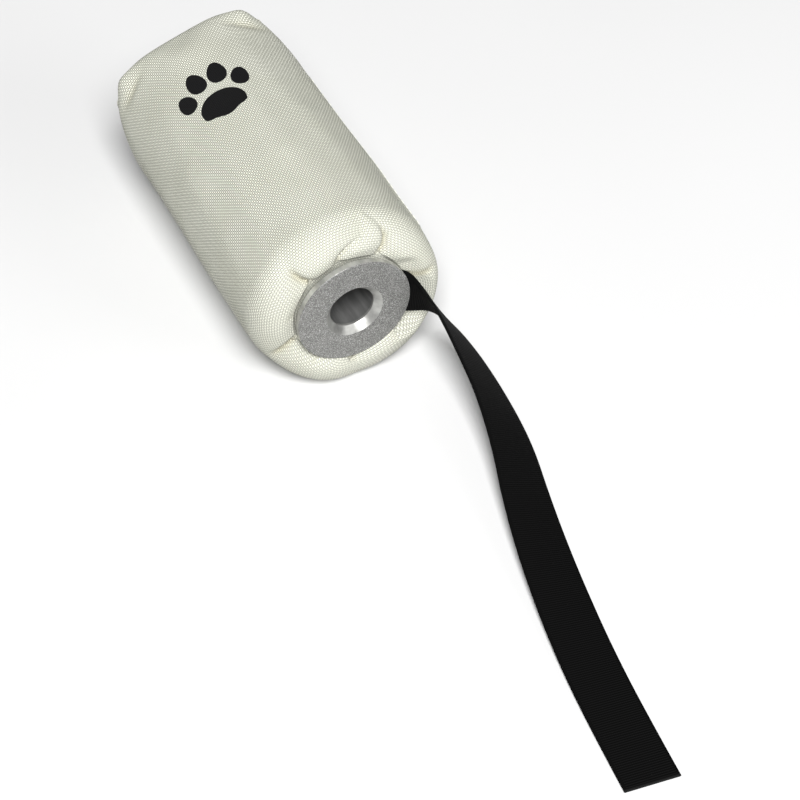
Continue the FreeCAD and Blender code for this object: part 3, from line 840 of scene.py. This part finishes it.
def cover_uv(surface, faces):
    """Yarn coordinates of every face's corners: the yarns stay parallel within a gore between pleats."""
    row, column = np.divmod(np.array(faces), COLUMNS)
    points = surface.points[row, column]
    run = surface.run[row, column]
    near_mouth = 1 - smooth_step(9.0, 19.0, surface.out[row, column])
    radius = np.minimum(surface.radius[:, 0], BODY_RADIUS)[row]
    last = column.max(axis=1) - column.min(axis=1) > 1
    column[last] = np.where(column[last] == 0, COLUMNS, column[last])
    theta = column * FULL_TURN / COLUMNS
    across = theta * BODY_RADIUS
    for pleat, following in GORES:
        low = surface.pleat_angles(pleat)[row[:, 0]]
        width = np.mod(surface.pleat_angles(following)[row[:, 0]] - low, FULL_TURN)
        inside = np.mod(theta.mean(axis=1, keepdims=True) - low, FULL_TURN) < width
        centre = math.radians(pleat.start + (following.start - pleat.start) % 360 / 2)
        turn = centred(theta - centre)
        local = centre * BODY_RADIUS + turn * (near_mouth * radius + (1 - near_mouth) * BODY_RADIUS)
        across = np.where(inside, local, across)
    flat_across, flat_along = square_axes(points)
    on_end = row.min(axis=1, keepdims=True) >= surface.end_row
    return np.stack([np.where(on_end, flat_across, across), np.where(on_end, flat_along, run)], axis=2)


def make_cover(surface, material):
    """The canvas bag: a fine outer face and a plainer inner one a cloth's thickness inside it."""
    rows = len(surface.points)
    faces = [face[::-1] for face in grid_faces(rows, COLUMNS)]
    uv = cover_uv(surface, faces)
    outer = metres(surface.points).reshape(-1, 3)
    pole = metres([[0, float(surface.points[-1, :, 1].mean()) + 0.02, 0]])
    gather = 0.35 * np.sin(34 * surface.theta)[None, :, None] * (surface.out < -8)[..., None]
    inset = surface.points - (CLOTH + gather) * surface.normals
    inner_rows = list(range(0, rows - 1, 4)) + [rows - 1]
    inner = metres(inset[inner_rows][:, ::INNER]).reshape(-1, 3)
    verts = np.concatenate([outer, pole, inner])
    last = (rows - 1) * COLUMNS
    faces += [(last + (j + 1) % COLUMNS, last + j, len(outer)) for j in range(COLUMNS)]
    first = len(outer) + 1
    inner_columns = COLUMNS // INNER
    faces += [tuple(first + v for v in face) for face in grid_faces(len(inner_rows), inner_columns)]
    for j in range(inner_columns):
        edge = [(INNER * j + m) % COLUMNS for m in range(INNER + 1)]
        faces.append((*edge, first + (j + 1) % inner_columns, first + j))
    cover = new_mesh("canvas_bag", verts, faces, material, turn_outward=False)
    values = np.zeros((len(cover.data.loops), 2), np.float32)
    values[:4 * len(uv)] = uv.reshape(-1, 2)
    cover.data.uv_layers.new(name="yarns").data.foreach_set("uv", values.ravel())
    # Painted shade in the crease field; the mouth field flattens the weave near the mouth, partly for
    # stretched cloth and partly as painted highlight.
    for tint, field in (("crease", surface.crease), ("mouth", 1 - smooth_step(8.0, 26.0, surface.out))):
        values = np.zeros(len(verts), np.float32)
        values[:len(outer)] = field.ravel()
        cover.data.attributes.new(tint, "FLOAT", "POINT").data.foreach_set("value", values)
    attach(cover, BODY)
    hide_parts("canvas_cover")
    return cover


# ---- seams, stitches and mark

def make_side_seam(surface, material):
    """Lapped seam along the side: a raised band that the two rows of stitches pull down.

    Past the last stitch it is pressed flat, where the bag turns square.
    """
    low = FRONT + SHOULDER + 1.0
    high = SQUARE_START + 19.0
    half = 4.5
    last = FIRST_STITCH + (STITCH_COUNT - 0.5) * STITCH_PITCH
    rings = []
    yarns = []
    for run in np.arange(low, high, 0.6):
        taper = smooth_step(low - 1.0, low + 4.0, run) * (1 - smooth_step(high - 4.0, high + 1.0, run))
        taper *= 1 - 0.85 * smooth_step(last, last + 6.0, run)
        pucker = 0.16 + 0.1 * math.cos(FULL_TURN * (run - low) / STITCH_PITCH)
        ring = []
        for a in [*np.linspace(-half, half, 25), 4.4, 0.0, -4.4]:
            point, normal = surface.at(SQUARE_TURN + a / BODY_RADIUS, run)
            height = -0.3
            if len(ring) < 25:
                height = 0.65 * taper * math.sqrt(max(0.0, 1 - (abs(a) / half) ** 5)) + 0.02
                height -= taper * pucker * math.exp(-((abs(a) - STITCH_ROW) / 0.55) ** 2)
            ring.append(point + normal * height)
            yarns.append((a, run))
        rings.append(metres(ring))
    seam = new_skins("side_seam_band", [rings], material, yarns)
    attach(seam, BODY)
    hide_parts("side_seam")


def thread_loop(surface, theta, run, length):
    """Rings of one stitch: a short thread that comes up out of the canvas and goes back in."""
    turn = np.linspace(0, FULL_TURN, 10, endpoint=False)[:, None]
    rings = []
    for share in np.linspace(-0.5, 0.5, 9):
        point, normal = surface.at(theta, run + share * length)
        onward, _ = surface.at(theta, run + share * length + 0.1)
        aside = np.cross(unit(onward - point), normal)
        radius = 0.35 * math.sqrt(max(0.1, 1 - (2.0 * share) ** 8))
        centre = point + normal * (0.42 + 0.3 * (1 - (2 * share) ** 2))
        rings.append(metres(centre + radius * (np.cos(turn) * normal + np.sin(turn) * aside)))
    return rings


def make_stitches(surface, material):
    """Two rows of stitches along the side seam."""
    threads = [
        thread_loop(surface, SQUARE_TURN + row / BODY_RADIUS, FIRST_STITCH + k * STITCH_PITCH, 2.6)
        for row in (-STITCH_ROW, STITCH_ROW) for k in range(STITCH_COUNT)
    ]
    stitches = new_skins("side_seam_thread", threads, material, wrapped_yarns(threads, 10.0, 0.33))
    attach(stitches, BODY)
    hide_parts("side_seam_stitches")


def welt_rings(tree, starts, direction, width, height):
    """Rings of a low rounded welt whose line is where rays from the starting points meet the canvas."""
    hits = [tree.ray_cast(Vector(start), Vector(direction)) for start in starts]
    places, normals = [np.array([hit[k] for hit in hits if hit[0]]) for k in range(2)]
    tangents = unit(np.gradient(places, axis=0))
    turn = np.linspace(0, FULL_TURN, 14, endpoint=False)[:, None]
    rings = []
    for i, (place, normal, tangent) in enumerate(zip(places, eased_directions(normals), tangents)):
        stretch = min(1.0, 0.4 + 0.15 * min(i, len(places) - 1 - i))
        pull = stretch * (1 - 0.16 * (0.5 + 0.5 * math.cos(i * FULL_TURN / 7)))
        aside = np.cross(tangent, normal) * width / 2
        rings.append(place + aside * np.cos(turn) + normal * height * pull * np.sin(turn))
    return rings


def make_welt(name, node, runs, material):
    """Seam pieces of one node: each run of rings is a separate closed welt."""
    welt = new_skins(name, runs, material, wrapped_yarns(runs, 6.0, 0.5))
    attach(welt, BODY)
    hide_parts(node)


def make_end_seams(cover, material):
    """The seam across the end, and the short one at each end of it."""
    tree = BVHTree.FromObject(cover, bpy.context.evaluated_depsgraph_get())
    across = about_axis(1.0, 0.0, SQUARE_TURN)
    aside = about_axis(1.0, 0.0, SQUARE_TURN + math.pi / 2)
    back = np.array([0, 1.0, 0])
    middle = np.array([0, 0, AXIS_HEIGHT])
    starts = [middle + across * a * MM + 0.12 * back for a in np.arange(-35.5, 35.6, 0.5)]
    make_welt("end_seam_welt", "end_seam", [welt_rings(tree, starts, -back, 0.0026, 0.0009)], material)
    runs = []
    for side in (-1, 1):
        outward = unit(side * across + back)
        edge = middle + side * across * (HALF_SIDE - 1.5) * MM + (FACE + (SQUARE_END - 1.5) * MM) * back
        starts = [edge + aside * a * MM + outward * 0.05 for a in np.arange(-23.5, 23.6, 0.5)]
        runs.append(welt_rings(tree, starts, -outward, 0.0028, 0.0009))
    make_welt("gusset_seam_welts", "gusset_seams", runs, material)


def pad_outline(pad, steps):
    """Closed outline of one toe of the paw, in millimetres across and along."""
    across, along, half_width, half_length, lean = pad
    t = np.linspace(0, 2 * math.pi, steps, endpoint=False)
    narrow = 1 - 0.16 * np.sin(t)
    x = half_width * np.cos(t) * narrow
    y = half_length * np.sin(t)
    c = math.cos(math.radians(lean))
    s = math.sin(math.radians(lean))
    return np.stack([across + x * c - y * s, along + x * s + y * c], axis=1)


def heel_outline(steps):
    """The large pad: round in front, with three shallow lobes behind."""
    t = np.linspace(0, 2 * math.pi, steps, endpoint=False)
    behind = np.maximum(0, -np.sin(t))
    lobes = 1 + 0.07 * behind * np.cos(6 * (t + math.pi / 2))
    x = 11.4 * np.cos(t) * (1 - 0.10 * np.sin(t)) * lobes
    y = 8.6 * np.sin(t) * lobes * (1 - 0.12 * behind)
    return np.stack([x, y - 7.5], axis=1)


def make_mark(surface, material):
    """Paw print in ink: thin patches that follow the canvas, with its yarns showing through."""
    centre_run = 116.0
    centre_turn = math.radians(108.0)
    rings = 14
    levels = [(0.02, 0.07)] + [(ring / rings, 0.07) for ring in range(1, rings + 1)] + [(1.0, -0.15)]
    verts = []
    faces = []
    yarns = []
    for outline in [pad_outline(pad, 96) for pad in PAW_PADS] + [heel_outline(120)]:
        middle = outline.mean(axis=0)
        steps = len(outline)
        start = len(verts)
        for share, height in levels:
            for a, b in middle + (outline - middle) * share:
                theta = centre_turn - a / BODY_RADIUS
                point, normal = surface.at(theta, centre_run + b)
                verts.append(metres(point + normal * height))
                yarns.append((theta * BODY_RADIUS, centre_run + b))
        faces += [tuple(start + v for v in face[::-1]) for face in grid_faces(len(levels), steps)]
        faces.append(tuple(range(start, start + steps)))
    mark = new_mesh("paw_print", verts, faces, material)
    set_uv(mark, yarns)
    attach(mark, BODY)
    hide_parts("printed_mark")


# ---- foam

def make_foam(surface, name, node, rows, material, hollow):
    """A foam piece from rows of (radius, along), each a number or a value for every sixth column."""
    rings = np.array([about_axis(radius, along, surface.theta[::INNER]) for radius, along in rows])
    rings[..., 2] = np.maximum(rings[..., 2], 1.6 - AXIS_HEIGHT / MM)
    foam = new_skins(name, [metres(rings)], material, torus=hollow)
    foam.data.set_sharp_from_angle(angle=math.radians(40))
    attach(foam, BODY)
    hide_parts(node)


def make_foams(surface, material):
    """The core round the sleeve, and the pad behind the washer."""
    inset = 1.7
    outer = BODY_RADIUS - inset
    shoulder = SHOULDER + 2
    core = [(23.5, 17.0), (13.2, 17.0), (13.2, 144.0)]
    core += arc_rows(outer - 1.5, 142.5, 1.5, 90, 0, 6)
    core += [(outer, along) for along in np.linspace(138, 24, 24)]
    core += arc_rows(outer - shoulder, 7.2 + shoulder, shoulder, 0, -90, 14)
    core += arc_rows(24.7, 8.4, 1.2, -90, -180, 5)
    make_foam(surface, "foam_core_block", "foam_core", core, material, hollow=True)
    pad = [(0.4, 147.1), (30.8, 147.1), (32.1, 146.5), (32.1, 144.1)]
    for i in range(surface.body_rows, len(surface.radius) - 1, 2):
        radius = surface.radius[i, ::INNER]
        along = surface.along[i, ::INNER]
        if along.min() < 144.4:
            continue
        over = smooth_step(SQUARE_END - 4, SQUARE_END + 3, along)
        pad.append((radius - np.minimum(inset, radius * 0.5) * (1 - 0.4 * over), along - 2.6 * over))
    pad.append((0.4, SQUARE_END + DOME - 2.6))
    make_foam(surface, "foam_end_block", "foam_end_pad", pad, material, hollow=False)


# ---- metal ring and tie

def rounded_corners(corners, steps):
    """Points of a closed outline of (radius, along, fillet), with each corner rounded."""
    points = []
    for k, (radius, along, fillet) in enumerate(corners):
        here = np.array([radius, along])
        before = unit(corners[k - 1][:2] - here)
        after = unit(corners[(k + 1) % len(corners)][:2] - here)
        half = math.acos(before @ after) / 2
        centre = here + unit(before + after) * fillet / math.sin(half)
        first = here + before * fillet / math.tan(half) - centre
        last = here + after * fillet / math.tan(half) - centre
        for share in np.linspace(0, 1, steps):
            points.append(centre + unit(first * (1 - share) + last * share) * fillet)
    return points


def lathe(name, outline, material, segments):
    """A turned ring whose closed outline is a run of (radius, along)."""
    theta = np.arange(segments) * FULL_TURN / segments
    rings = [metres(about_axis(radius, along, theta)) for radius, along in outline]
    piece = new_skins(name, [rings], material, torus=True)
    piece.data.set_sharp_from_angle(angle=math.radians(35))
    return piece


def make_ring(face_material, side_material, countersink_material):
    """Flange ring with a grainy face, a smooth turned side and a smooth turned countersink; side and
    countersink share one turned finish, lighter on the side as painted light and darker in the countersink
    as painted shade.
    """
    corners = [
        (13.7, 0.0, 0.15), (27.3, 0.0, 0.45), (27.3, 3.2, 0.4), (15.8, 3.2, 0.2), (15.8, 15.2, 0.3),
        (13.0, 15.2, 0.2), (13.0, 4.2, 0.1), (10.6, 4.2, 0.05), (10.6, 3.1, 0.2),
    ]
    ring = lathe("flange_ring_turned", rounded_corners(corners, 6), face_material, 256)
    ring.data.materials.append(side_material)
    ring.data.materials.append(countersink_material)
    for polygon in ring.data.polygons:
        radius = math.hypot(polygon.center.x, polygon.center.z - AXIS_HEIGHT) / MM
        behind = (polygon.center.y - FACE) / MM
        if radius > 27.1 and behind > 0.3:
            polygon.material_index = 1
        elif radius < 13.72:
            polygon.material_index = 2
    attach(ring, BODY)
    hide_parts("flange_ring")


def make_tie(material):
    """Toothed nylon band with its lock."""
    teeth = 150
    toothed = 19.5 - 0.25 * np.tile((0, 0, 1, 1), teeth)
    outline = [(18.25, 9.2), (18.25, 13.6), (18.45, 13.8), (19.3, 13.8), (19.5, 13.6), (toothed, 12.9),
               (toothed, 10.1), (19.5, 9.4), (19.3, 9.2)]
    tie = lathe("gather_tie_band", outline, material, 4 * teeth)
    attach(tie, BODY)
    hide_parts("gather_tie")
    head = bmesh.new()
    bmesh.ops.create_cube(head, size=1.0)
    bmesh.ops.scale(head, vec=(0.0076, 0.0046, 0.0034), verts=head.verts)
    bmesh.ops.bevel(head, geom=head.edges[:], offset=0.0005, segments=3, affect="EDGES")
    bmesh.ops.translate(head, vec=(0, FACE + 0.0114, AXIS_HEIGHT - 0.0204), verts=head.verts)
    mesh = bpy.data.meshes.new("gather_tie_lock")
    head.to_mesh(mesh)
    head.free()
    mesh.materials.append(material)
    mesh.shade_smooth()
    mesh.set_sharp_from_angle(angle=math.radians(35))
    lock = link_object("gather_tie_lock", mesh)
    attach(lock, BODY)
    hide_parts("gather_tie")


def dress_cad_node(node, material):
    """A CAD piece keeps its shape and gets a better material."""
    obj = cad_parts[node]
    obj.data.materials.clear()
    obj.data.materials.append(material)


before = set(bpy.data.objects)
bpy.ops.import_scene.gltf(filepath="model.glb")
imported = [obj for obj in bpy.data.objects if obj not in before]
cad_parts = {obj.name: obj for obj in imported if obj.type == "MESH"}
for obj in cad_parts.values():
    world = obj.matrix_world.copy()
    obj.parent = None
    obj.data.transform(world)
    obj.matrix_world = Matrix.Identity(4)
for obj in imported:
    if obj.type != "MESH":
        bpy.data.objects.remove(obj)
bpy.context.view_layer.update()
ring_low, ring_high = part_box("flange_ring")
AXIS_HEIGHT = (ring_low.z + ring_high.z) / 2
FACE = ring_low.y

add_camera(Vector((0.0053, FACE - 0.0344, AXIS_HEIGHT - 0.0267)))
add_studio(Vector((0, 0, AXIS_HEIGHT)))
make_streamer()

canvas = canvas_material("canvas_white", (0.92, 0.92, 0.82), (0.58, 0.59, 0.51), 0.75)
canvas_ink = canvas_material("canvas_ink", (0.006, 0.006, 0.007), (0.004, 0.004, 0.004), 0.1)
thread = grained_plastic("thread_white", (0.80, 0.80, 0.74), 0.6, 900.0)
foam = grained_plastic("foam_cream", (0.78, 0.72, 0.52), 0.95, 700.0)
nylon = grained_plastic("nylon_natural", (0.82, 0.80, 0.72), 0.35, 400.0)
washer = grained_plastic("washer_grey", (0.22, 0.23, 0.24), 0.5, 600.0)
tumbled = tumbled_aluminium()
# One turned finish in a lit and a shaded copy: the brighter one on the ring's side wall is painted light,
# the darker one in the countersink and on the end plug is painted shade.
turned = turned_aluminium("turned_aluminium", (0.60, 0.60, 0.58), 0.36)
shaded_turned = turned_aluminium("turned_aluminium_shaded", (0.45, 0.45, 0.43), 0.36)
drawn = turned_aluminium("drawn_aluminium", (0.26, 0.26, 0.255), 0.42)
steel = turned_aluminium("pin_steel", (0.50, 0.50, 0.51), 0.3)

surface = CoverSurface()
surface.shape_mouth()
surface.fold_pleats()
surface.puff_gores()
surface.press_under_streamer()
surface.shape_end()
surface.relax()
surface.settle()
cover = make_cover(surface, canvas)
make_side_seam(surface, canvas)
make_stitches(surface, thread)
make_end_seams(cover, canvas)
make_mark(surface, canvas_ink)
make_foams(surface, foam)
make_ring(tumbled, turned, shaded_turned)
make_tie(nylon)
dress_cad_node("sleeve_tube", drawn)
dress_cad_node("end_plug", shaded_turned)
dress_cad_node("plug_pin", steel)
dress_cad_node("thrust_washer", washer)
